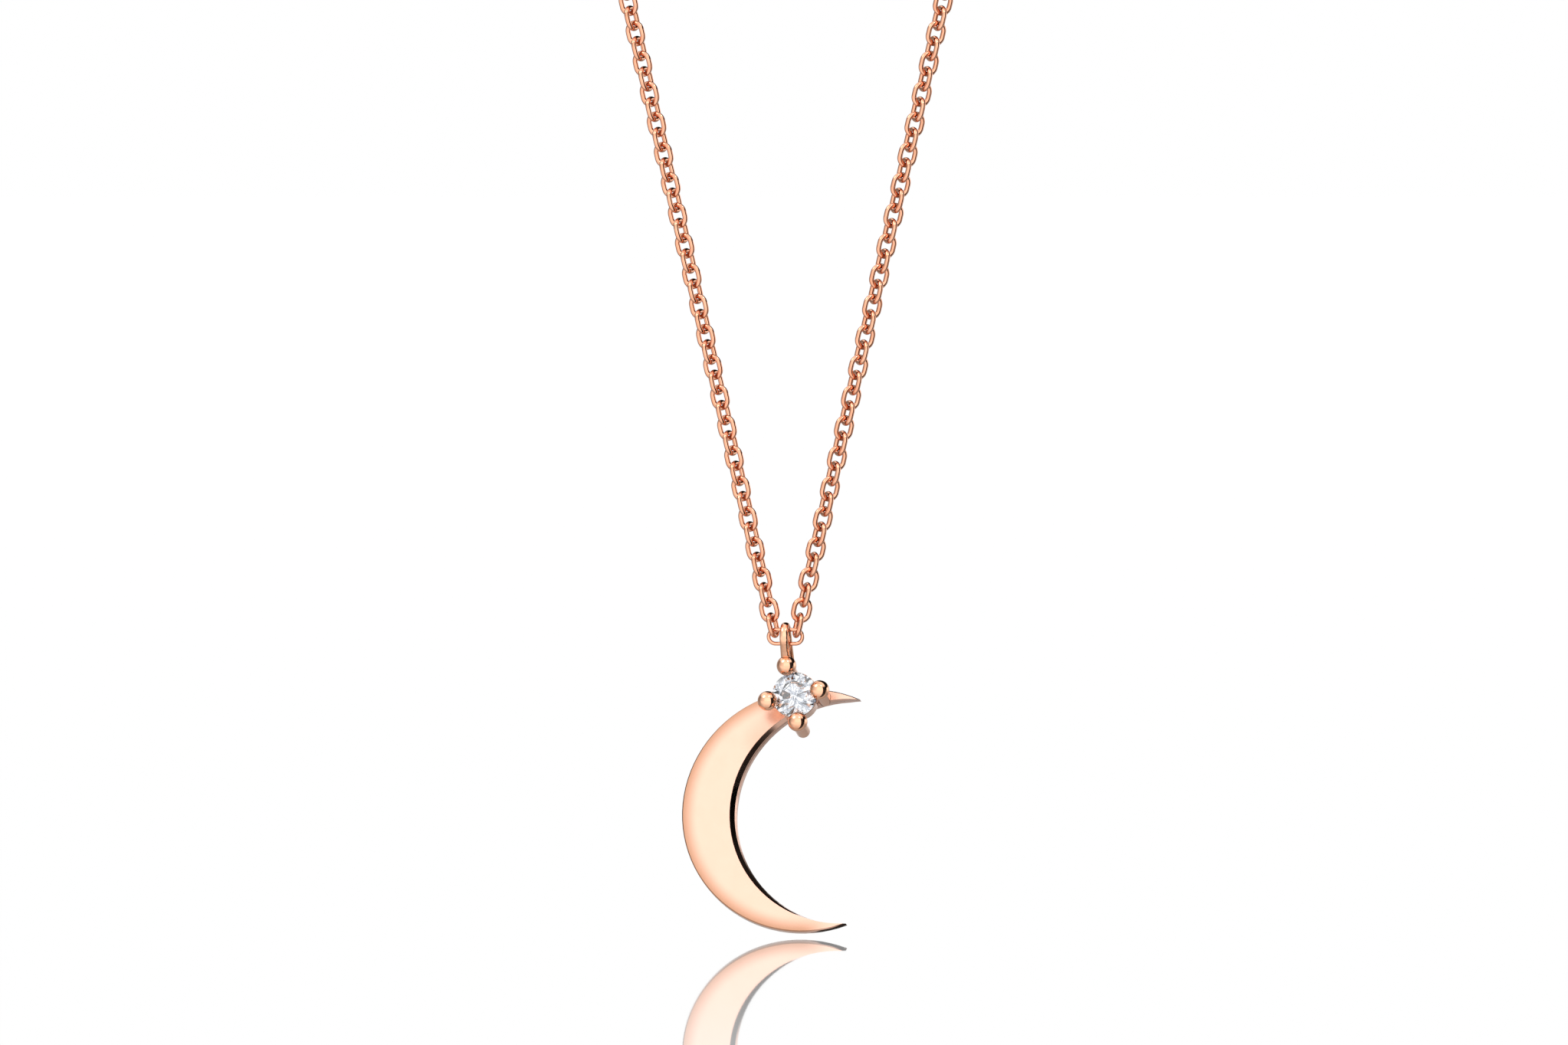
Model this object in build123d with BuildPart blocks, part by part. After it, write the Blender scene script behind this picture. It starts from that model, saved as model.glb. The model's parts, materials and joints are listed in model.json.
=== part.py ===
"""Crescent pendant necklace: a cable chain hung over a round rest, closed by a spring ring
clasp, with a stone-set crescent pendant hanging from an oval centre link by its bail.

Millimetres, +Z up, -Y towards the wearer's front. The origin is the centre of the round rest
that the top of the chain lies over.
"""

from build123d import *
from math import asin, atan2, ceil, cos, degrees, hypot, pi, radians, sin, sqrt
import os

os.makedirs("parts", exist_ok=True)

# Chain: round wire links, each a straight-sided oval
rest_radius = 33.5  # from the rest's centre to the chain's own centre line
strand_lean = 13.23  # angle of each hanging strand from the vertical, degrees
link_wire = 0.33
link_inner_length = 1.06
link_inner_width = 0.73
chain_play = 0.03  # least gap between the wires of two linked pieces
link_twists = (38.0, 24.0)  # how far the right and left strands' lower links are turned, degrees
first_twist = 0.6  # share of it at the lowest link, growing by twist_growth with each link above
twist_growth = 0.07
links_lower = 61  # links in the lower length of each strand, an odd number
links_twisted = 44  # links from the bottom that keep the whole twist
links_untwisting = 14  # links over which the twist runs out

# Oval link in the middle of the chain
centre_wire = 0.25
centre_inner_height = 0.66
centre_straight = 1.32
centre_play = 0.08  # gap to the strands' lowest links

# Spring ring clasp and its rings
clasp_ring_radius = 2.1  # centre line of the case
clasp_tube_radius = 0.62
clasp_wall = 0.17
tongue_play = 0.05
tongue_seat = 9.0  # how far the closed tongue enters its seat, degrees
tongue_play_angle = 4.0  # free room past each end of the tongue, degrees
clasp_gap = 34.0  # opening in the case, degrees
tongue_tail = 62.0  # from the middle of the gap to the tongue's inner end, degrees
trigger_travel = 44.0
trigger_place = 54.0
trigger_pin_radius = 0.2
trigger_height = 0.75
trigger_head_radius = 0.34
spring_span = 78.0
spring_wire = 0.09
spring_coils = 9
spring_rest = 2.5  # from each end of the spring's room to the middle of its end coil, degrees
eye_radius = 0.72
eye_wire = 0.4
jump_ring_radius = 1.05
jump_ring_wire = 0.4
end_ring_radius = 1.15
end_ring_wire = 0.44

# Crescent plate, lying in the pendant's own plane
plate_radius = 8.17
plate_thickness = 0.85
waist_front = 3.14  # plate's width across its middle at the front face
waist_back = 3.55  # and at the back face, past the bevelled inner edge
bevel_depth = 0.45
horn_upper = 66.5  # direction of the upper tip from the outer circle's centre, degrees
horn_lower = -68.5
front_chamfer = 0.07  # along the outer edge
back_chamfer = 0.28

# Stone and its setting
stone_radius = 1.5
stone_table = 0.57  # of the stone's width
crown_height = 0.44
girdle_height = 0.09
pavilion_height = 1.28
stone_lift = 0.14  # stone's point above the plate's front face
setting_u = -0.83  # setting's centre from the outer circle's centre
setting_inset = 0.78  # how far the setting's centre is inside the outer circle's top
prong_angles = (7.5, 107.0, 197.0, 280.0)  # right, top, left and bottom, from the pendant's own +u, degrees
prong_spreads = (0.2, 0.45, 0.3, 0.45)  # prong centres outside the stone's edge
prong_radius = 0.46
prong_stub = 0.1  # prongs' rounded feet past the plate's back face
left_prong_slope = 0.39  # how much the left prong runs in towards its foot, per unit of height
ball_radius = 0.65
ball_rise = 0.43  # ball centres above the girdle's underside
collet_lip = 0.03  # collet's rim outside the stone's edge
collet_wall = 0.3
collet_taper = 0.14
solder_gap = 0.015

# Bail, and how the pendant hangs from it
lean_back = 16.5  # the plate's top leans back by this much, degrees
bail_u = -1.42  # hanging point in the pendant's own plane
bail_rise = 4.04  # above the setting's centre
bail_n = 2.785  # in front of the plate's front face
bail_width = 0.7  # at the feet of its legs
bail_top_width = 0.52
bail_thickness = 0.34
bail_inner_radius = 0.56
bail_front_inset = 0.22  # front leg's end from the ball's centre, towards the back
bail_back_depth = 0.75  # back leg's end, above the prong's foot


# Worked-out places
def across(point, direction, distance):
    """The point at a distance along a direction, all as (x, z) pairs."""
    return (point[0] + direction[0] * distance, point[1] + direction[1] * distance)


lean = radians(strand_lean)
strand_down = (-sin(lean), -cos(lean))  # right-hand strand, seen from the front
centre_bend = (centre_inner_height + centre_wire) / 2
link_reach = (link_wire + chain_play) / 2  # from the meeting point of two links to a link's end wire
max_pitch = link_inner_length - chain_play

tangent = (rest_radius * cos(lean), -rest_radius * sin(lean))
hang_x = centre_straight / 2 + centre_bend * sin(lean)
strand_run = (tangent[0] - hang_x) / sin(lean)
centre_hang = across(tangent, strand_down, strand_run)  # centre link's wire, where a strand holds it
foot_drop = (centre_wire + link_wire) / 2 + centre_play - link_reach
strand_foot = across(centre_hang, strand_down, foot_drop)
strand_length = strand_run + foot_drop


def odd_count(length):
    """Fewest links that span the length, made odd so that both ends lie face-on or edge-on."""
    count = ceil(length / max_pitch)
    return count + 1 - count % 2


strand_count = odd_count(strand_length)
strand_pitch = strand_length / strand_count
centre_z = centre_hang[1] - centre_bend * cos(lean)
bail_z = centre_z + centre_bend  # middle of the centre link's upper wire

# Clasp stretch, from the chain's last meeting point on the left to that on the right
eye_x = -(clasp_ring_radius + clasp_tube_radius + solder_gap + eye_wire / 2 + eye_radius)
left_ring_x = eye_x - eye_radius + (eye_wire + jump_ring_wire) / 2 + chain_play - jump_ring_radius
clasp_left = jump_ring_radius - left_ring_x - (jump_ring_wire + chain_play) / 2
tongue_radius = clasp_tube_radius - clasp_wall - tongue_play
end_ring_x = clasp_ring_radius - tongue_radius - chain_play - end_ring_wire / 2 + end_ring_radius
right_ring_x = (
    end_ring_x
    + end_ring_radius
    - (end_ring_wire + jump_ring_wire) / 2
    - chain_play
    + jump_ring_radius
)
clasp_right = right_ring_x + jump_ring_radius - (jump_ring_wire + chain_play) / 2
clasp_half = (clasp_left + clasp_right) / 2
clasp_x = (clasp_left - clasp_right) / 2
clasp_z = sqrt(rest_radius**2 - clasp_half**2)
arc_start = asin(clasp_half / rest_radius)
arc_end = pi / 2 + lean
arc_count = odd_count((arc_end - arc_start) * rest_radius)
arc_step = (arc_end - arc_start) / arc_count

# Hinge lines that the record names
top_hinge_z = rest_radius * cos(arc_end) - link_reach * cos(lean)
mid_hinge_z = strand_foot[1] + (links_lower * strand_pitch - link_reach) * cos(lean)

# Levels in the pendant, and its own plane: u to the right, v up the plate, n out of its front face
girdle_level = pavilion_height + stone_lift
ball_level = girdle_level + ball_rise
prong_foot = -plate_thickness - prong_stub
collet_radius = stone_radius + collet_lip
setting_v = plate_radius - setting_inset
bail_v = setting_v + bail_rise
tilt = radians(lean_back)
face_origin = (
    -bail_u,
    -(bail_v * sin(tilt) - bail_n * cos(tilt)),
    bail_z - (bail_v * cos(tilt) + bail_n * sin(tilt)),
)
face = Plane(origin=face_origin, x_dir=(1, 0, 0), z_dir=(0, -cos(tilt), sin(tilt)))
setting = Plane(face.from_local_coords((setting_u, setting_v, 0)), x_dir=face.x_dir, z_dir=face.z_dir)


def prong_place(index):
    """Centre of a prong in the setting's own plane, counted from the right, anticlockwise."""
    angle, reach = radians(prong_angles[index]), stone_radius + prong_spreads[index]
    return (reach * cos(angle), reach * sin(angle))


def circle_through(p, q, r):
    """Centre and radius of the circle through three points of a plane."""
    d = 2 * (p[0] * (q[1] - r[1]) + q[0] * (r[1] - p[1]) + r[0] * (p[1] - q[1]))
    pp, qq, rr = (a[0] ** 2 + a[1] ** 2 for a in (p, q, r))
    x = (pp * (q[1] - r[1]) + qq * (r[1] - p[1]) + rr * (p[1] - q[1])) / d
    y = (pp * (r[0] - q[0]) + qq * (p[0] - r[0]) + rr * (q[0] - p[0])) / d
    return (x, y), hypot(p[0] - x, p[1] - y)


def waist_circle(width):
    """Circle through both tips of the crescent that leaves it this wide across the middle."""
    upper, lower = (
        (plate_radius * cos(radians(angle)), plate_radius * sin(radians(angle)))
        for angle in (horn_upper, horn_lower)
    )
    return circle_through(upper, lower, (width - plate_radius, 0))


# Chain links
def oval_link(straight, bend, wire):
    """A closed oval of round wire in the XY plane, its long side along X, centred."""
    with BuildPart() as link:
        with BuildSketch(Plane.YZ.offset(straight / 2)):
            with Locations((bend, 0)):
                Circle(wire / 2)
        revolve(axis=Axis((straight / 2, 0, 0), (0, 0, -1)), revolution_arc=180)
        if straight > 0:
            with BuildSketch(Plane.YZ):
                with Locations((bend, 0), (-bend, 0)):
                    Circle(wire / 2)
            extrude(amount=straight / 2)
        mirror(about=Plane.YZ)
    return link.part


link_straight = link_inner_length - link_inner_width
link_bend = (link_inner_width + link_wire) / 2
chain_link = oval_link(link_straight, link_bend, link_wire)


def link_plane(start, end, turn):
    """Plane of a link between two meeting points (x, z), turned about the chain's own line."""
    along = Vector(end[0] - start[0], 0, end[1] - start[1]).normalized()
    facing = Vector(0, -1, 0).rotate(Axis((0, 0, 0), along), turn)
    middle = ((start[0] + end[0]) / 2, 0, (start[1] + end[1]) / 2)
    return Plane(origin=middle, x_dir=along, z_dir=facing)


def twist_at(side, index):
    """Twist of a strand's link, counted from the bottom."""
    left = (links_twisted + links_untwisting - index) / links_untwisting
    whole = link_twists[0] if side > 0 else -link_twists[1]
    return whole * min(1, max(0, left), first_twist + twist_growth * index)


def strand_planes(side, first, last):
    """Planes of a strand's links from first up to last; side is 1 on the right and -1 on the left."""
    meets = [across(strand_foot, strand_down, -i * strand_pitch) for i in range(first, last + 1)]
    meets = [(side * x, z) for x, z in meets]
    turns = [twist_at(side, i) + 90 * ((i + 1) % 2) for i in range(first, last)]
    return [link_plane(a, b, t) for a, b, t in zip(meets, meets[1:], turns)]


def arc_planes(side):
    """Planes of the links over the rest, from the strand's top to the clasp's rings."""
    angles = [arc_end - i * arc_step for i in range(arc_count + 1)]
    meets = [(side * rest_radius * sin(a), rest_radius * cos(a)) for a in angles]
    return [link_plane(meets[i], meets[i + 1], 90 * (i % 2)) for i in range(arc_count)]


def chain_length(name, planes):
    """One length of chain: separate links, written as two nodes of half the links each."""
    half = ceil(len(planes) / 2)
    for number, places in enumerate((planes[:half], planes[half:]), 1):
        with BuildPart() as chain:
            with Locations(*places):
                add(chain_link)
        chain.part.label = f"{name}_{number}"
        export_step(chain.part, f"parts/{name}_{number}.step")


for side, hand in ((-1, "left"), (1, "right")):
    chain_length(f"{hand}_lower_strand", strand_planes(side, 0, links_lower))
    chain_length(f"{hand}_upper_strand", strand_planes(side, links_lower, strand_count))
    chain_length(f"{hand}_neck_chain", arc_planes(side))

centre_shape = oval_link(centre_straight, centre_bend, centre_wire)
with BuildPart() as centre_link:
    with Locations(Plane(origin=(0, 0, centre_z), x_dir=(1, 0, 0), z_dir=(0, -1, 0))):
        add(centre_shape)
centre_link.part.label = "centre_link"
export_step(centre_link.part, "parts/centre_link.step")

# Clasp rings
flat = Plane.XY.offset(clasp_z)
clasp_centre = (clasp_x, 0, clasp_z)
upright = Plane(origin=(0, 0, clasp_z), x_dir=(1, 0, 0), z_dir=(0, -1, 0))
clasp = Plane(origin=clasp_centre, x_dir=(1, 0, 0), z_dir=(0, 0, 1))

for name, place, radius, wire, plane in (
    ("clasp_jump_ring", left_ring_x, jump_ring_radius, jump_ring_wire, flat),
    ("chain_jump_ring", right_ring_x, jump_ring_radius, jump_ring_wire, flat),
    ("chain_end_ring", end_ring_x, end_ring_radius, end_ring_wire, upright),
):
    with BuildPart(plane) as ring:
        with Locations((clasp_x + place, 0)):
            Torus(radius, wire / 2)
    ring.part.label = name
    export_step(ring.part, f"parts/{name}.step")


# Clasp: the case is a bent tube, with the gap on the right and the eye on the left
def clasp_section(angle):
    """Plane across the case's tube in a direction from the clasp's centre; x points outwards."""
    out = (cos(radians(angle)), sin(radians(angle)), 0)
    middle = clasp.from_local_coords((clasp_ring_radius * out[0], clasp_ring_radius * out[1], 0))
    return Plane(origin=middle, x_dir=out, z_dir=(-out[1], out[0], 0))


def tube_arc(radius, start, end):
    """A round bar of this radius bent along the case's centre line, between two directions."""
    with BuildPart() as bar:
        with BuildSketch(clasp_section(start)):
            Circle(radius)
        revolve(axis=Axis(clasp_centre, (0, 0, 1)), revolution_arc=end - start)
    return bar.part


bore_radius = clasp_tube_radius - clasp_wall
half_gap = clasp_gap / 2
seat_end = -half_gap - tongue_seat - tongue_play_angle
spring_start = tongue_tail + tongue_play_angle
spring_end = spring_start + spring_span
pin_slot_angle = degrees((trigger_pin_radius + tongue_play) / clasp_ring_radius)
slot_first = trigger_place - pin_slot_angle
slot_last = trigger_place + trigger_travel + pin_slot_angle

with BuildPart() as clasp_case:
    add(tube_arc(clasp_tube_radius, half_gap, 360 - half_gap))
    add(tube_arc(bore_radius, half_gap - 1, spring_end), mode=Mode.SUBTRACT)
    add(tube_arc(bore_radius, seat_end, 1 - half_gap), mode=Mode.SUBTRACT)
    with BuildSketch(clasp_section(slot_first)):
        with Locations((clasp_tube_radius, 0)):
            Rectangle(2 * clasp_tube_radius, 2 * (trigger_pin_radius + tongue_play))
    revolve(
        axis=Axis(clasp_centre, (0, 0, 1)),
        revolution_arc=slot_last - slot_first,
        mode=Mode.SUBTRACT,
    )
clasp_case.part.label = "clasp_case"
export_step(clasp_case.part, "parts/clasp_case.step")

pin_plane = clasp_section(trigger_place)
pin_plane = Plane(origin=pin_plane.origin, z_dir=pin_plane.x_dir)
pin_length = clasp_tube_radius + trigger_height
with BuildPart() as clasp_tongue:
    add(tube_arc(tongue_radius, -half_gap - tongue_seat, tongue_tail))
    with Locations(pin_plane.offset(pin_length / 2)):
        Cylinder(trigger_pin_radius, pin_length)
    with Locations(pin_plane.offset(pin_length)):
        Sphere(trigger_head_radius)
clasp_tongue.part.label = "clasp_tongue"
export_step(clasp_tongue.part, "parts/clasp_tongue.step")

coil_radius = bore_radius - tongue_play - spring_wire / 2
turns = [i / 8 for i in range(8 * spring_coils + 1)]
spring_path = []
for turn in turns:
    there = clasp_section(spring_start + spring_rest + (spring_span - 2 * spring_rest) * turn / spring_coils)
    about = 2 * pi * turn
    spring_path.append(there.from_local_coords((coil_radius * cos(about), coil_radius * sin(about), 0)))
with BuildPart() as clasp_spring:
    with BuildLine() as coil:
        Spline(*spring_path)
    with BuildSketch(Plane(origin=coil.line @ 0, z_dir=coil.line % 0)):
        Circle(spring_wire / 2)
    sweep()
clasp_spring.part.label = "clasp_spring"
export_step(clasp_spring.part, "parts/clasp_spring.step")

with BuildPart() as clasp_eye:
    with Locations(Plane(origin=(clasp_x + eye_x, 0, clasp_z), z_dir=(0, -1, 0))):
        Torus(eye_radius, eye_wire / 2)
clasp_eye.part.label = "clasp_eye"
export_step(clasp_eye.part, "parts/clasp_eye.step")


# Setting: the stone, its collet and four prongs
def prong_shape(index, spare=0.0):
    """A prong: a round wire with a rounded foot and a ball for its head, grown by the spare."""
    u, v = prong_place(index)
    foot_level = prong_foot + prong_radius
    slope = left_prong_slope if index == 2 else 0.0
    inwards = 1 - slope * (ball_level - foot_level) / hypot(u, v)
    head = setting.from_local_coords((u, v, ball_level))
    foot = setting.from_local_coords((u * inwards, v * inwards, foot_level))
    shank = Plane(origin=(head + foot) / 2, z_dir=head - foot)
    with BuildPart() as prong:
        with Locations(foot):
            Sphere(prong_radius + spare)
        with Locations(shank):
            Cylinder(prong_radius + spare, (head - foot).length)
        with Locations(head):
            Sphere(ball_radius + spare)
    return prong.part


def stone_shape(spare=0.0):
    """The cut stone about the setting's axis, grown by the spare."""
    girdle_top = girdle_level + girdle_height
    axis_plane = Plane(origin=setting.origin, x_dir=setting.x_dir, z_dir=-setting.y_dir)
    with BuildPart() as gem:
        with BuildSketch(axis_plane):
            with BuildLine():
                Polyline(
                    (0, girdle_level - pavilion_height - spare),
                    (stone_radius + spare, girdle_level - spare),
                    (stone_radius + spare, girdle_top + spare),
                    (stone_radius * stone_table + spare, girdle_top + crown_height + spare),
                    (0, girdle_top + crown_height + spare),
                    close=True,
                )
            make_face()
        revolve(axis=Axis(setting.origin, setting.z_dir))
    return gem.part


stone = stone_shape()
stone.label = "stone"
export_step(stone, "parts/stone.step")

seat_cut = stone_shape(solder_gap)
prong_cuts = [prong_shape(i, solder_gap) for i in range(4)]
for index, where in enumerate(("right", "top", "left", "bottom")):
    with BuildPart() as prong:
        add(prong_shape(index))
        add(seat_cut, mode=Mode.SUBTRACT)
    prong.part.label = f"prong_{where}"
    export_step(prong.part, f"parts/prong_{where}.step")

with BuildPart() as collet:
    with BuildSketch(setting.offset(solder_gap)):
        Circle(collet_radius - collet_taper)
        Circle(collet_radius - collet_taper - collet_wall, mode=Mode.SUBTRACT)
    with BuildSketch(setting.offset(girdle_level - solder_gap)):
        Circle(collet_radius)
        Circle(collet_radius - collet_wall, mode=Mode.SUBTRACT)
    loft(ruled=True)
    add(seat_cut, mode=Mode.SUBTRACT)
    for cut in prong_cuts:
        add(cut, mode=Mode.SUBTRACT)
collet.part.label = "collet"
export_step(collet.part, "parts/collet.step")

# Crescent plate
front_centre, front_bend = waist_circle(waist_front)
back_centre, back_bend = waist_circle(waist_back)


def outer_edges(shape):
    """The plate's long outer edges, from its back face to its front face."""
    round_edges = shape.edges().filter_by(GeomType.CIRCLE)
    outer = round_edges.filter_by(lambda edge: abs(edge.radius - plate_radius) < 0.01)
    return outer.sort_by(Axis(face.origin, face.z_dir))


with BuildPart() as crescent_plate:
    with BuildSketch(face.offset(-plate_thickness)):
        Circle(plate_radius)
        with Locations(back_centre):
            Circle(back_bend, mode=Mode.SUBTRACT)
    extrude(amount=plate_thickness)
    chamfer(outer_edges(crescent_plate.part)[-1], front_chamfer)
    chamfer(outer_edges(crescent_plate.part)[0], back_chamfer)
    with BuildSketch(face.offset(-bevel_depth)):
        with Locations(back_centre):
            Circle(back_bend)
    with BuildSketch(face):
        with Locations(front_centre):
            Circle(front_bend)
    loft(mode=Mode.SUBTRACT)
    for cut in prong_cuts:
        add(cut, mode=Mode.SUBTRACT)
crescent_plate.part.label = "crescent_plate"
export_step(crescent_plate.part, "parts/crescent_plate.step")

# Bail: a band bent to a drop in the plane X = 0, its legs ending on the top prong
top_prong = setting.from_local_coords((*prong_place(1), 0))
ball = top_prong + face.z_dir * ball_level
front_foot = (ball.Y + bail_front_inset, ball.Z)
back_point = top_prong + face.z_dir * (prong_foot + bail_back_depth)
back_foot = (back_point.Y, back_point.Z)
bail_bend = bail_inner_radius + bail_thickness / 2
bend_centre = (0, bail_z + centre_wire / 2 + chain_play - bail_inner_radius)


def tangent_point(foot, hand):
    """Where a line from the foot touches the bail's bend, on its front (-1) or back (1)."""
    dy, dz = foot[0] - bend_centre[0], foot[1] - bend_centre[1]
    angle = atan2(dz, dy) + hand * (pi / 2 - asin(bail_bend / hypot(dy, dz)))
    return (bend_centre[0] + bail_bend * cos(angle), bend_centre[1] + bail_bend * sin(angle))


def bail_section(line, place):
    """Plane across the bail at a share of its length, its x across the band."""
    return Plane(origin=line @ place, x_dir=(1, 0, 0), z_dir=line % place)


front_touch = tangent_point(front_foot, -1)
back_touch = tangent_point(back_foot, 1)
bend_top = (bend_centre[0], bend_centre[1] + bail_bend)
with BuildPart() as bail:
    with BuildLine(Plane.YZ) as bail_line:
        Line(front_foot, front_touch)
        ThreePointArc(front_touch, bend_top, back_touch)
        Line(back_touch, back_foot)
    for place, width in ((0, bail_width), (0.5, bail_top_width), (1, bail_width)):
        with BuildSketch(bail_section(bail_line.line, place)):
            Ellipse(width / 2, bail_thickness / 2)
    sweep(multisection=True)
    add(prong_cuts[1], mode=Mode.SUBTRACT)
bail.part.label = "bail"
export_step(bail.part, "parts/bail.step")
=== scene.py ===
"""Looks for the crescent pendant necklace: metal finishes, the cut stone, and the studio."""

import json
from math import atan2, cos, pi, radians, sin

import bpy
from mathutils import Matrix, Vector


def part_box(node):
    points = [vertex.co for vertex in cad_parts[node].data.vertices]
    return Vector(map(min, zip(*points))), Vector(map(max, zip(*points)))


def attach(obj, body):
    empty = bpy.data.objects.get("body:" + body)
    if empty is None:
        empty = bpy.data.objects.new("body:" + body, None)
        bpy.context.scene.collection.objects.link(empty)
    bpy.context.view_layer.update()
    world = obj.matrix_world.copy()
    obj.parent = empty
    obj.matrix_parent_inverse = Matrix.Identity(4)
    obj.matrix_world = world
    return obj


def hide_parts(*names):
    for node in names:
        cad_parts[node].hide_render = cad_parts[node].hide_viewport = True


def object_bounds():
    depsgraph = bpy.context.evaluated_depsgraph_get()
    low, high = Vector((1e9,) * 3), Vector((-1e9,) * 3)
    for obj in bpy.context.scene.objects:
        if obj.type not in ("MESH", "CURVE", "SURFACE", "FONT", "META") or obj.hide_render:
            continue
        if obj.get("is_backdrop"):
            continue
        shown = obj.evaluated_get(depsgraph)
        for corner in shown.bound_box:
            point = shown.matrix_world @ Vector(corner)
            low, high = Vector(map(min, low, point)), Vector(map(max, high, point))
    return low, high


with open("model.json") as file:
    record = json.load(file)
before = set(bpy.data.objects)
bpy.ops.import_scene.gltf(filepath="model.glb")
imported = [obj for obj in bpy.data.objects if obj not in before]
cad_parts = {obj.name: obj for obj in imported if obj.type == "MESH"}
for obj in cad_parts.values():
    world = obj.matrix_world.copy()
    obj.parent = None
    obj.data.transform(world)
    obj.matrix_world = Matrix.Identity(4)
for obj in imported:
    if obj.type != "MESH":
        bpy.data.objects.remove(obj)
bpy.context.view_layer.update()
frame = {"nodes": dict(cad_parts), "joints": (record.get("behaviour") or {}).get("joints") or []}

bl_info = {
    "name": "Crescent Pendant Necklace",
    "version": (1, 0, 0),
    "blender": (4, 5, 0),
    "location": "3D View > Sidebar > Necklace",
    "description": "Gives the crescent pendant necklace its metals, its cut stone and its studio",
    "category": "Object",
}

joints = {joint["name"]: joint for joint in frame["joints"]}
hanging_point = Vector(joints["pendant_sway"]["pos_m"])

SETTING_NODES = ("bail", "collet", "prong_right", "prong_top", "prong_left", "prong_bottom")
CHAIN_NODES = (
    "centre_link",
    *(name for name in frame["nodes"] if "strand" in name or "neck_chain" in name),
)
CLASP_NODES = (
    "clasp_case",
    "clasp_eye",
    "clasp_tongue",
    "clasp_jump_ring",
    "chain_jump_ring",
    "chain_end_ring",
)


# Sizes and colours that a user may change


class MetalSettings(bpy.types.PropertyGroup):
    """Colours and finish of the plated metal"""

    plate_color: bpy.props.FloatVectorProperty(
        name="Plate", description="Rose gold of the crescent plate", subtype="COLOR", size=3,
        default=(0.80, 0.50, 0.385),
    )
    # painted shade: the deeper rose laid towards the plate's outer left edge and under the left prong
    rim_color: bpy.props.FloatVectorProperty(
        name="Plate rim", description="Deeper rose of the plate towards its outer edge",
        subtype="COLOR", size=3, default=(0.47, 0.245, 0.15),
    )
    setting_color: bpy.props.FloatVectorProperty(
        name="Setting", description="Rose gold of the prongs, collet and bail", subtype="COLOR", size=3,
        default=(0.82, 0.46, 0.30),
    )
    chain_color: bpy.props.FloatVectorProperty(
        name="Chain", description="Rose gold of the chain's wire", subtype="COLOR", size=3,
        default=(0.72, 0.37, 0.24),
    )
    clasp_color: bpy.props.FloatVectorProperty(
        name="Clasp", description="Rose gold of the clasp and its rings", subtype="COLOR", size=3,
        default=(0.80, 0.44, 0.29),
    )
    polish: bpy.props.FloatProperty(
        name="Polish", description="Roughness of the best polished metal",
        min=0.0, max=1.0, default=0.06,
    )
    scratch_spacing: bpy.props.FloatProperty(
        name="Scratch spacing", description="Distance between fine polishing marks",
        subtype="DISTANCE", unit="LENGTH", min=0.00001, default=0.00008,
    )


class StoneSettings(bpy.types.PropertyGroup):
    """Cut of the stone"""

    table_share: bpy.props.FloatProperty(
        name="Table", description="Width of the table as a share of the stone's",
        min=0.4, max=0.7, default=0.57,
    )
    star_angle: bpy.props.FloatProperty(
        name="Star angle", description="Slope of the star facets", subtype="ANGLE", default=radians(21),
    )
    upper_girdle_angle: bpy.props.FloatProperty(
        name="Upper girdle angle", description="Slope of the upper girdle facets", subtype="ANGLE",
        default=radians(40.5),
    )
    lower_girdle_angle: bpy.props.FloatProperty(
        name="Lower girdle angle", description="Slope of the lower girdle facets", subtype="ANGLE",
        default=radians(42.2),
    )
    ior: bpy.props.FloatProperty(
        name="Refraction", description="Index of refraction of the stone",
        min=1.0, max=3.0, default=2.3,
    )


class StudioSettings(bpy.types.PropertyGroup):
    """Camera, floor and light"""

    camera_azimuth: bpy.props.FloatProperty(
        name="Azimuth", description="How far the camera stands to the right of straight in front",
        subtype="ANGLE", default=radians(9),
    )
    camera_elevation: bpy.props.FloatProperty(
        name="Elevation", description="How far the camera stands above the level of what it looks at",
        subtype="ANGLE", default=radians(1.2),
    )
    picture_width: bpy.props.FloatProperty(
        name="Picture width", description="Width that the picture takes in, at the pendant",
        subtype="DISTANCE", unit="LENGTH", default=0.1023,
    )
    lens: bpy.props.FloatProperty(name="Lens", description="Focal length in millimetres", default=500.0)
    aim_above_bail: bpy.props.FloatProperty(
        name="Aim", description="Height of the picture's centre above the bail",
        subtype="DISTANCE", unit="LENGTH", default=0.007,
    )
    floor_gap: bpy.props.FloatProperty(
        name="Floor gap", description="Air between the pendant's lowest point and the floor",
        subtype="DISTANCE", unit="LENGTH", default=0.0002,
    )
    light_strength: bpy.props.FloatProperty(
        name="Light", description="Brightness of the studio's soft surround", default=2.0,
    )


# Shader arithmetic


class Wire:
    """A node's output, on which Python arithmetic adds Math nodes."""

    def __init__(self, board, socket):
        self.board, self.socket = board, socket

    def out(self, name):
        """Another output of the same node."""
        return Wire(self.board, self.socket.node.outputs[name])

    def math(self, operation, *terms):
        return self.board.node("ShaderNodeMath", {"operation": operation}, dict(enumerate(terms)))

    def __add__(self, other):
        return self.math("ADD", self, other)

    __radd__ = __add__

    def __mul__(self, other):
        return self.math("MULTIPLY", self, other)

    __rmul__ = __mul__

    def __sub__(self, other):
        return self.math("SUBTRACT", self, other)

    def __rsub__(self, other):
        return self.math("SUBTRACT", other, self)

    def __truediv__(self, other):
        return self.math("DIVIDE", self, other)

    def __rtruediv__(self, other):
        return self.math("DIVIDE", other, self)

    def __pow__(self, other):
        return self.math("POWER", self, other)

    def largest(self, other):
        return self.math("MAXIMUM", self, other)

    def size(self):
        return self.math("ABSOLUTE", self)

    def step(self, low, high):
        """A smooth climb from 0 at low to 1 at high."""
        return self.board.node(
            "ShaderNodeMapRange",
            {"interpolation_type": "SMOOTHSTEP"},
            {"Value": self, "From Min": low, "From Max": high},
        )


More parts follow.
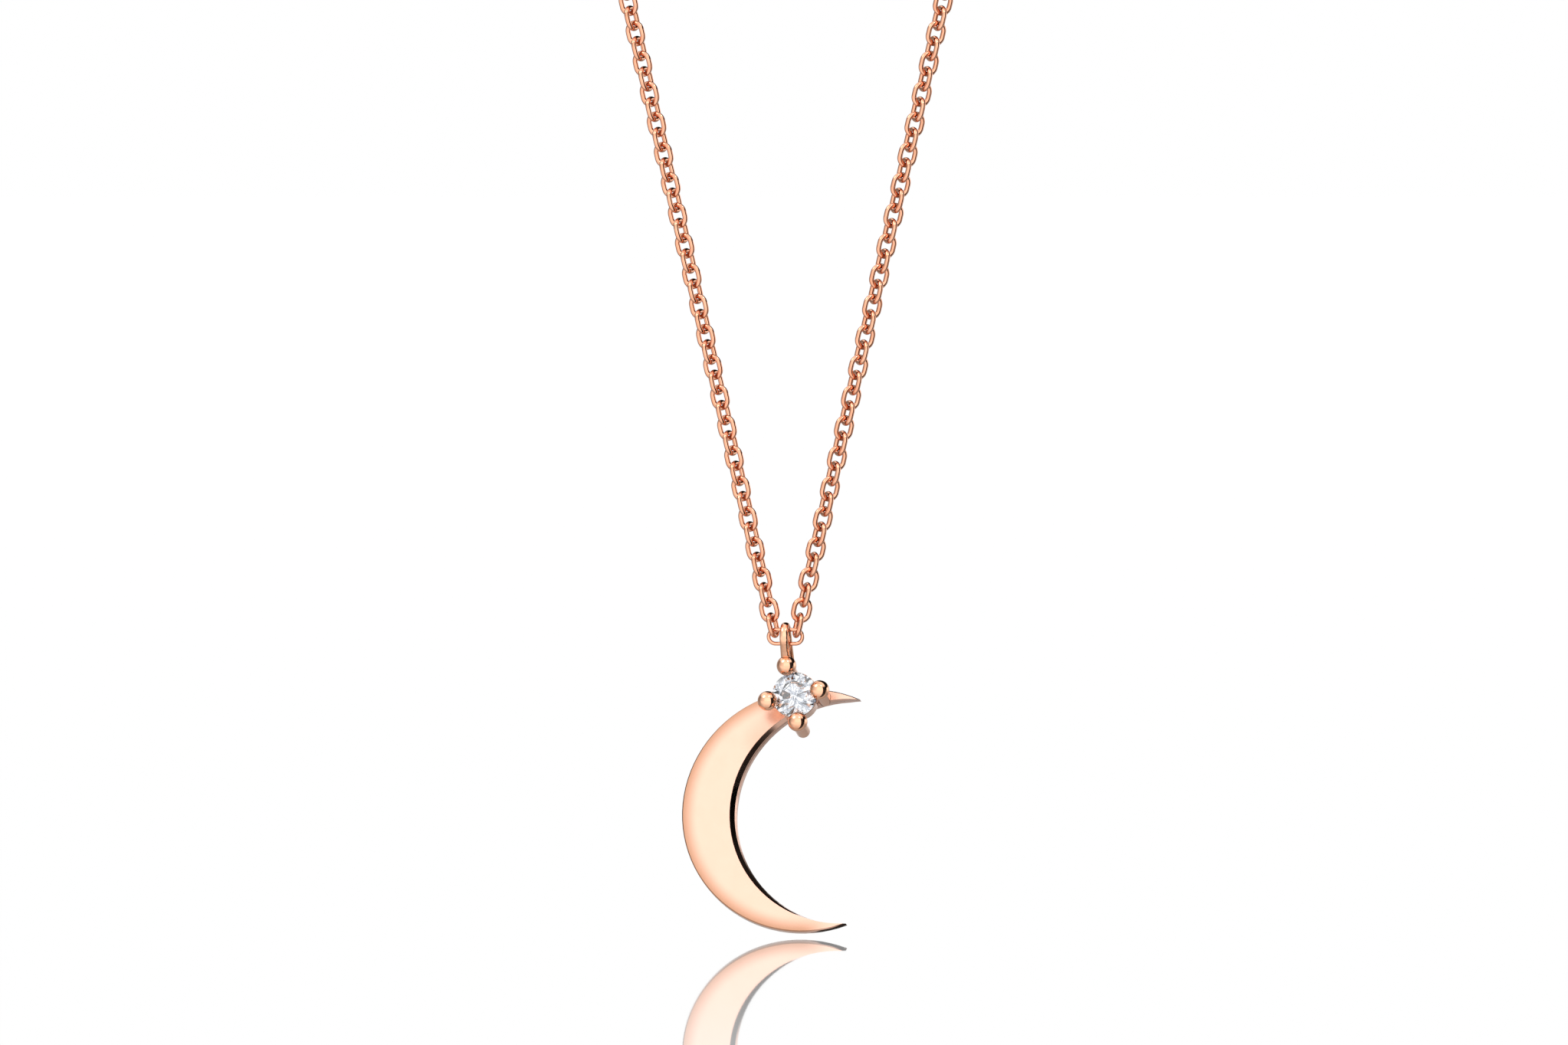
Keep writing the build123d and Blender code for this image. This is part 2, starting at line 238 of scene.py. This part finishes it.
class Board:
    """A node tree that is filled node by node."""

    def __init__(self, tree):
        self.tree = tree
        tree.nodes.clear()

    def node(self, kind, settings=None, sockets=None, out=0):
        """Adds a node, sets its settings and then its sockets, and gives one of its outputs."""
        node = self.tree.nodes.new(kind)
        for name, value in (settings or {}).items():
            if name == "stops":
                self.set_stops(node.color_ramp, value)
            else:
                setattr(node, name, value)
        for key, value in (sockets or {}).items():
            if isinstance(value, Wire):
                self.tree.links.new(value.socket, node.inputs[key])
            else:
                node.inputs[key].default_value = value
        return Wire(self, node.outputs[out]) if node.outputs else node

    @staticmethod
    def set_stops(ramp, stops):
        while len(ramp.elements) > 1:
            ramp.elements.remove(ramp.elements[-1])
        for index, (place, level) in enumerate(stops):
            element = ramp.elements[0] if index == 0 else ramp.elements.new(place)
            element.position = place
            element.color = (level, level, level, 1)

    def noise(self, where, size, detail=3.0):
        """Cloudy noise whose features are about this many metres across."""
        return self.node(
            "ShaderNodeTexNoise", None, {"Vector": where, "Scale": 1 / size, "Detail": detail}, "Fac"
        )

    def blend(self, share, first, second):
        """A colour between two, by a share."""
        sockets = {0: share}
        for key, colour in ((6, first), (7, second)):
            sockets[key] = colour if isinstance(colour, Wire) else (*colour, 1)
        return self.node("ShaderNodeMix", {"data_type": "RGBA"}, sockets, 2)


def deeper(colour, share):
    """A colour at a power, as metal looks after more than one bounce."""
    return tuple(channel ** (1 + share) for channel in colour)


CLOUD_SIZE, HAZE_SIZE = 0.0011, 0.00035  # patches of painted bounce shade, and of dullness, across
SPRING_STEEL = (0.56, 0.55, 0.54)


def metal_finish(name, colour, polish, mark, bounce_shade=1.0, extra=None):
    """Polished plated metal with fine polishing marks, a little haze and painted bounce shade in random
    cloudy patches.
    """
    material = bpy.data.materials.new(name)
    material.use_nodes = True
    board = Board(material.node_tree)
    where = board.node("ShaderNodeTexCoord", out="Object")
    cloud = board.noise(where, CLOUD_SIZE)
    haze = board.noise(where, HAZE_SIZE, 5.0)
    marks = board.noise(where, mark, 4.0)
    # painted bounce shade: random cloudy patches take the deeper colour that metal shows after more than
    # one bounce
    share = cloud.step(0.3, 0.75) * (0.35 * bounce_shade)
    colour_now = board.blend(share, colour, deeper(colour, 0.35))
    roughness = polish + haze.step(0.45, 0.8) * 0.05 + marks * 0.03
    height = marks * 0.5 + haze * 0.5
    bump_sockets = {"Strength": 0.06, "Distance": 0.00001}
    if extra:
        colour_now, roughness, height, normal = extra(board, where, colour_now, roughness, height)
        bump_sockets["Normal"] = normal
    bump_sockets["Height"] = height
    bump = board.node("ShaderNodeBump", None, bump_sockets)
    shader = board.node(
        "ShaderNodeBsdfPrincipled",
        None,
        {"Base Color": colour_now, "Metallic": 1.0, "Roughness": roughness, "Normal": bump},
    )
    board.node("ShaderNodeOutputMaterial", None, {"Surface": shader})
    return material


def wear(node_name, material):
    """Puts a finish on a CAD node."""
    mesh_object = frame["nodes"][node_name]
    if not mesh_object.material_slots:
        mesh_object.data.materials.append(material)
    for slot in mesh_object.material_slots:
        slot.material = material


# The pendant's own plane, from the CAD nodes


def span(node_name, direction):
    """Lowest and highest place of a CAD node along a direction."""
    places = [vertex.co.dot(direction) for vertex in frame["nodes"][node_name].data.vertices]
    return min(places), max(places)


LEAN_BACK = radians(16.5)
PLATE_TURN = (pi / 2 - LEAN_BACK, 0, 0)
across_plate = Vector((1, 0, 0))
up_plate = Vector((0, sin(LEAN_BACK), cos(LEAN_BACK)))
out_of_plate = Vector((0, -cos(LEAN_BACK), sin(LEAN_BACK)))
plate_back, plate_front = span("crescent_plate", out_of_plate)
plate_bottom, plate_top = span("crescent_plate", up_plate)
plate_radius = (plate_top - plate_bottom) / 2
plate_centre = (
    across_plate * (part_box("crescent_plate")[0].x + plate_radius)
    + up_plate * (plate_top + plate_bottom) / 2
    + out_of_plate * plate_front
)


def in_plane(board, where, origin):
    """Places measured from an origin, across, up and out of the plate."""
    turned = board.node(
        "ShaderNodeMapping",
        {"vector_type": "TEXTURE"},
        {"Vector": where, "Location": origin, "Rotation": PLATE_TURN},
    )
    return board.node("ShaderNodeSeparateXYZ", None, {0: turned}, "X")


def deselect():
    for item in bpy.context.selected_objects:
        item.select_set(False)


NECK = (-0.0029, 0.0047)  # centre of the painted shade where the upper horn runs under the left prong, from the plate's centre
FACE_SATIN = 0.24  # roughness that the plate's face has over its polished edges
EDGE_LEVELS = (-0.00047, -0.00033)  # heights between which the outer edge is rounded, from the face


class NECKLACE_OT_plate(bpy.types.Operator):
    """Polish the crescent plate"""

    bl_idname = "necklace.plate"
    bl_label = "Crescent Plate"

    def execute(self, context):
        metal = context.scene.necklace_metal

        def rim(board, where, colour_now, roughness, height):
            """Paints shade by deepening the colour towards the outer left edge and under the left prong,
            dulls the face and rounds the edge.
            """
            u = in_plane(board, where, plate_centre)
            v, n = u.out("Y"), u.out("Z")
            outwards = (u * u + v * v) ** 0.5 / plate_radius
            from_neck = ((u - NECK[0]) ** 2 + (v - NECK[1]) ** 2) ** 0.5
            # painted shade: the colour deepens towards the outer edge on the plate's left side
            painted_edge_shade = outwards.step(0.87, 1.01) * (1 - u.step(0.0, 0.0022))
            # painted shade under the left prong, round NECK
            painted_prong_shade = (1 - from_neck.step(0.0002, 0.0019)) * 0.3
            colour_now = board.blend(painted_edge_shade + painted_prong_shade, colour_now, tuple(metal.rim_color))
            face = n.step(-0.00004, -0.00001)
            rounding = board.node(
                "ShaderNodeBump",
                None,
                {"Strength": 1.0, "Distance": 0.0001, "Height": n.step(*EDGE_LEVELS)},
            )
            return colour_now, roughness + face * FACE_SATIN, height, rounding

        wear("crescent_plate", metal_finish(
            "polished_plate", tuple(metal.plate_color), metal.polish, metal.scratch_spacing, 0.35, rim))
        return {"FINISHED"}


class NECKLACE_OT_setting(bpy.types.Operator):
    """Polish the prongs, the collet and the bail"""

    bl_idname = "necklace.setting"
    bl_label = "Setting and Bail"

    def execute(self, context):
        metal = context.scene.necklace_metal
        finish = metal_finish(
            "polished_setting", tuple(metal.setting_color), metal.polish, metal.scratch_spacing)
        for name in SETTING_NODES:
            wear(name, finish)
        return {"FINISHED"}


class NECKLACE_OT_chain(bpy.types.Operator):
    """Finish the chain's links and the centre link"""

    bl_idname = "necklace.chain"
    bl_label = "Chain"

    def execute(self, context):
        metal = context.scene.necklace_metal
        finish = metal_finish(
            "chain_wire", tuple(metal.chain_color), metal.polish - 0.02, metal.scratch_spacing, 1.6)
        for name in CHAIN_NODES:
            wear(name, finish)
        return {"FINISHED"}


class NECKLACE_OT_clasp(bpy.types.Operator):
    """Finish the spring ring clasp, its spring and its rings"""

    bl_idname = "necklace.clasp"
    bl_label = "Clasp"

    def execute(self, context):
        metal = context.scene.necklace_metal
        finish = metal_finish(
            "clasp_metal", tuple(metal.clasp_color), metal.polish + 0.03, metal.scratch_spacing, 1.3)
        for name in CLASP_NODES:
            wear(name, finish)
        wear("clasp_spring", metal_finish("spring_steel", SPRING_STEEL, 0.22, 0.00003))
        return {"FINISHED"}


FACET_REFLECTIONS_AROUND, FACET_REFLECTIONS_OUTWARDS = 3.2, 2.6  # painted facet reflections in the stone: patches in a radian and in a radius
# bright and dark of the painted facet reflections, laid into the stone's colour
STONE_BRIGHT, STONE_DARK = (0.86, 0.88, 0.91), (0.16, 0.18, 0.22)


class NECKLACE_OT_stone(bpy.types.Operator):
    """Cut the round stone facet by facet"""

    bl_idname = "necklace.stone"
    bl_label = "Cut Stone"

    def execute(self, context):
        cut = context.scene.necklace_stone
        point, table = span("stone", out_of_plate)
        low, high = span("stone", up_plate)
        left, right = span("stone", across_plate)
        radius = (right - left) / 2
        rims = [
            vertex.co.dot(out_of_plate)
            for vertex in frame["nodes"]["stone"].data.vertices
            if vertex.co.x > right - radius * 0.001
        ]
        girdle_low, girdle_high = min(rims) - point, max(rims) - point
        top = table - point
        deselect()
        bpy.ops.mesh.primitive_cylinder_add(
            vertices=64, radius=radius, depth=top, location=(0, 0, top / 2))
        stone = context.active_object
        stone.name = "cut_stone"
        bpy.ops.object.transform_apply(location=True, rotation=True, scale=True)
        bpy.ops.object.mode_set(mode="EDIT")
        table_radius = radius * cut.table_share
        crown_angle = atan2(top - girdle_high, radius - table_radius)
        pavilion_angle = atan2(girdle_low, radius)
        facets = (
            (8, 0.0, crown_angle, radius, girdle_high),
            (8, pi / 8, cut.star_angle, table_radius * cos(pi / 8), top),
            (16, pi / 16, cut.upper_girdle_angle, radius, girdle_high),
            (8, 0.0, -pavilion_angle, radius, girdle_low),
            (16, pi / 16, -cut.lower_girdle_angle, radius, girdle_low),
        )
        for count, first, angle, reach, level in facets:
            for index in range(count):
                turn = first + index * 2 * pi / count
                side = Vector((cos(turn), sin(turn), 0))
                rise = cos(angle) if angle > 0 else -cos(angle)
                steep = side * sin(abs(angle)) + Vector((0, 0, rise))
                bpy.ops.mesh.select_all(action="SELECT")
                bpy.ops.mesh.bisect(
                    plane_co=side * reach + Vector((0, 0, level)),
                    plane_no=steep,
                    use_fill=True,
                    clear_outer=True,
                    threshold=radius * 1e-4,
                )
        bpy.ops.mesh.select_all(action="SELECT")
        bpy.ops.mesh.remove_doubles(threshold=radius * 1e-3)
        bpy.ops.mesh.normals_make_consistent(inside=False)
        bpy.ops.object.mode_set(mode="OBJECT")
        place = across_plate * (left + right) / 2 + up_plate * (low + high) / 2 + out_of_plate * point
        stone.location = place
        stone.rotation_euler = PLATE_TURN
        bpy.ops.object.transform_apply(location=True, rotation=True, scale=True)
        material = bpy.data.materials.new("clear_stone")
        material.use_nodes = True
        board = Board(material.node_tree)
        where = board.node("ShaderNodeTexCoord", out="Object")
        u = in_plane(board, where, place)
        v = u.out("Y")
        # painted facet reflections: bright and dark patches in sectors round the stone's centre
        sector = u.math("ARCTAN2", v, u) * FACET_REFLECTIONS_AROUND
        outwards = (u * u + v * v) ** 0.5 * (FACET_REFLECTIONS_OUTWARDS / radius)
        cell = board.node("ShaderNodeCombineXYZ", None, {"X": sector, "Y": outwards})
        facet_reflections = board.noise(cell, 1.0, 1.0)
        dust = board.noise(where, 0.00004, 4.0)
        bump = board.node(
            "ShaderNodeBump", None, {"Strength": 0.02, "Distance": 0.000002, "Height": dust})
        shader = board.node(
            "ShaderNodeBsdfPrincipled",
            None,
            {
                "Base Color": board.blend(facet_reflections.step(0.46, 0.56), STONE_BRIGHT, STONE_DARK),
                "Roughness": dust * 0.012,
                "IOR": cut.ior,
                "Transmission Weight": 1.0,
                "Normal": bump,
            },
        )
        board.node("ShaderNodeOutputMaterial", None, {"Surface": shader})
        stone.data.materials.append(material)
        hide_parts("stone")
        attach(stone, "pendant")
        return {"FINISHED"}


FULL_TURN = 360  # degrees
FLOOR_RADIUS = 8.0
WALL_RING = (  # light at each bearing round the piece: degrees to the right of the camera, level
    (-180, 0.22), (-140, 0.25), (-112, 0.10), (-95, 0.30), (-72, 0.48), (-45, 0.62),
    (-26, 0.90), (26, 0.95), (38, 0.80), (42, 0.02), (76, 0.02), (90, 0.30),
    (102, 0.85), (128, 0.75), (150, 0.40), (179, 0.22),
)
ARCH_AXIS = (-0.43, -0.816, 0.39)  # the dark arch is a band square to this direction
ARCH_OFFSET = 0.19  # how far the middle of the band lies from the great circle
LAMPS = (  # name, degrees right of the camera, degrees up, distance, size, watts
    ("wide_soft_box", -62, 48, 0.7, 0.35, 0.8),
    ("small_soft_box", 28, 55, 0.5, 0.05, 0.15),
)
AIM_SHIFT = -0.0001  # sideways, from the bail to the picture's centre


def direction(bearing, rise):
    """Unit vector at a bearing to the right of straight in front, and an angle above the level."""
    return Vector((sin(bearing) * cos(rise), -cos(bearing) * cos(rise), sin(rise)))


class NECKLACE_OT_studio(bpy.types.Operator):
    """Set the floor, the lights and the camera"""

    bl_idname = "necklace.studio"
    bl_label = "Studio"

    def execute(self, context):
        studio = context.scene.necklace_studio
        floor_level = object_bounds()[0].z - studio.floor_gap
        turn = studio.camera_azimuth
        self.make_floor(context, floor_level, turn)
        self.make_surround(context, studio.light_strength, turn)
        self.make_lights(context, turn)
        self.make_camera(context, studio)
        context.scene.view_settings.view_transform = "Standard"
        return {"FINISHED"}

    def make_floor(self, context, level, turn):
        """Glossy white to the camera; to the metal bright in front, dimmer behind, dark on the right."""
        deselect()
        bpy.ops.mesh.primitive_circle_add(
            vertices=96, radius=FLOOR_RADIUS, fill_type="NGON",
            location=(0, 0, level), rotation=(0, 0, turn),
        )
        floor = context.active_object
        floor.name = "floor"
        material = bpy.data.materials.new("glossy_white_floor")
        material.use_nodes = True
        board = Board(material.node_tree)
        where = board.node("ShaderNodeTexCoord", out="Object")
        x = board.node("ShaderNodeSeparateXYZ", None, {0: where}, "X")
        y = x.out("Y")
        fade = (0 - y).step(0.35, 0.0) * 0.6 + 0.4
        bearing = x.math("ARCTAN2", x, 0 - y) * (180 / pi)
        strip = bearing.step(38, 44) * (1 - bearing.step(78, 84))
        seen = board.node("ShaderNodeLightPath", out="Is Camera Ray")
        bounced = (1.5 - y.step(-0.03, 0.01)) * (1 - strip * 0.98)
        light = seen + (1 - seen) * bounced
        fresnel = board.node("ShaderNodeFresnel", None, {"IOR": 1.4})
        gloss = board.node("ShaderNodeBsdfGlossy", None, {"Color": (1, 1, 1, 1), "Roughness": 0.02})
        glow = board.node("ShaderNodeEmission", None, {"Color": (1, 1, 1, 1), "Strength": light})
        mixed = board.node("ShaderNodeMixShader", None, {0: fresnel * fade, 1: glow, 2: gloss})
        board.node("ShaderNodeOutputMaterial", None, {"Surface": mixed})
        floor.data.materials.append(material)
        floor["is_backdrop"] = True

    def make_surround(self, context, strength, turn):
        """White to the camera; to the metal a ring of bright and dark walls with a dark arch over."""
        world = bpy.data.worlds.new("studio_surround")
        context.scene.world = world
        world.use_nodes = True
        board = Board(world.node_tree)
        facing = board.node(
            "ShaderNodeMapping",
            {"vector_type": "TEXTURE"},
            {"Vector": board.node("ShaderNodeTexCoord", out="Generated"), "Rotation": (0, 0, turn)},
        )
        parts = board.node("ShaderNodeSeparateXYZ", None, {0: facing}, "X")
        x, y, z = parts, parts.out("Y"), parts.out("Z")
        bearing = x.math("ARCTAN2", x, 0 - y) / (2 * pi) + 0.5
        stops = tuple((0.5 + right / FULL_TURN, level) for right, level in WALL_RING)
        ring = board.node("ShaderNodeValToRGB", {"stops": stops}, {0: bearing})
        along = x * ARCH_AXIS[0] + y * ARCH_AXIS[1] + z * ARCH_AXIS[2]
        arch = (1 - (along + ARCH_OFFSET).size().step(0.13, 0.19)) * z.step(-0.1, 0.05)
        canopy = (0 - along).step(0.0, 0.12) * z.step(0.22, 0.36)
        dark = arch.largest(canopy) * x.step(-0.28, -0.05)
        overhead = z.step(0.45, 0.75)
        level = (ring * (1 - overhead) + overhead * 0.75) * (1 - dark * 0.99)
        # the floor mirrors the wall straight behind at a grazing angle, so it stays white there
        behind = y.step(0.93, 0.96)
        level = level * (1 - behind) + behind * (1 / strength)
        seen = board.node("ShaderNodeLightPath", out="Is Camera Ray")
        light = seen + (1 - seen) * (level * strength)
        background = board.node(
            "ShaderNodeBackground", None, {"Color": (1, 1, 1, 1), "Strength": light})
        board.node("ShaderNodeOutputWorld", None, {"Surface": background})

    def make_lights(self, context, turn):
        """Two soft boxes: a wide one over the left shoulder and a small one for the stone."""
        for name, side, rise, far, size, power in LAMPS:
            toward = direction(turn + radians(side), radians(rise))
            lamp = bpy.data.lights.new(name, "AREA")
            lamp.shape, lamp.size, lamp.energy = "DISK", size, power
            holder = bpy.data.objects.new(name, lamp)
            context.scene.collection.objects.link(holder)
            holder.location = hanging_point + toward * far
            holder.rotation_euler = toward.to_track_quat("Z", "Y").to_euler()
            holder.visible_camera = False

    def make_camera(self, context, studio):
        camera = bpy.data.cameras.new("camera")
        camera.sensor_width, camera.lens = 36.0, studio.lens
        far = studio.picture_width * studio.lens / camera.sensor_width
        camera.clip_start, camera.clip_end = 0.01, 30.0
        back = direction(studio.camera_azimuth, studio.camera_elevation)
        target = hanging_point + Vector((AIM_SHIFT, 0, studio.aim_above_bail))
        holder = bpy.data.objects.new("camera", camera)
        context.scene.collection.objects.link(holder)
        holder.location = target + back * far
        holder.rotation_euler = back.to_track_quat("Z", "Y").to_euler()
        context.scene.camera = holder


class NECKLACE_PT_sidebar(bpy.types.Panel):
    """Sizes, colours and steps of the necklace"""

    bl_idname = "NECKLACE_PT_sidebar"
    bl_label = "Pendant Necklace"
    bl_space_type = "VIEW_3D"
    bl_region_type = "UI"
    bl_category = "Necklace"

    def draw(self, context):
        for settings in SETTINGS:
            group = getattr(context.scene, settings)
            box = self.layout.box()
            for name in group.__annotations__:
                box.prop(group, name)
        for step in STEPS:
            self.layout.operator(step.bl_idname)


STEPS = (
    NECKLACE_OT_plate,
    NECKLACE_OT_setting,
    NECKLACE_OT_chain,
    NECKLACE_OT_clasp,
    NECKLACE_OT_stone,
    NECKLACE_OT_studio,
)
SETTINGS = {
    "necklace_metal": MetalSettings,
    "necklace_stone": StoneSettings,
    "necklace_studio": StudioSettings,
}


def register():
    for group in (*SETTINGS.values(), *STEPS, NECKLACE_PT_sidebar):
        bpy.utils.register_class(group)
    for name, group in SETTINGS.items():
        setattr(bpy.types.Scene, name, bpy.props.PointerProperty(type=group))


def unregister():
    for name in SETTINGS:
        delattr(bpy.types.Scene, name)
    for group in (NECKLACE_PT_sidebar, *reversed(STEPS), *SETTINGS.values()):
        bpy.utils.unregister_class(group)


def main():
    register()
    for step in STEPS:
        section, name = step.bl_idname.split(".")
        getattr(getattr(bpy.ops, section), name)()


if __name__ == "__main__":
    main()
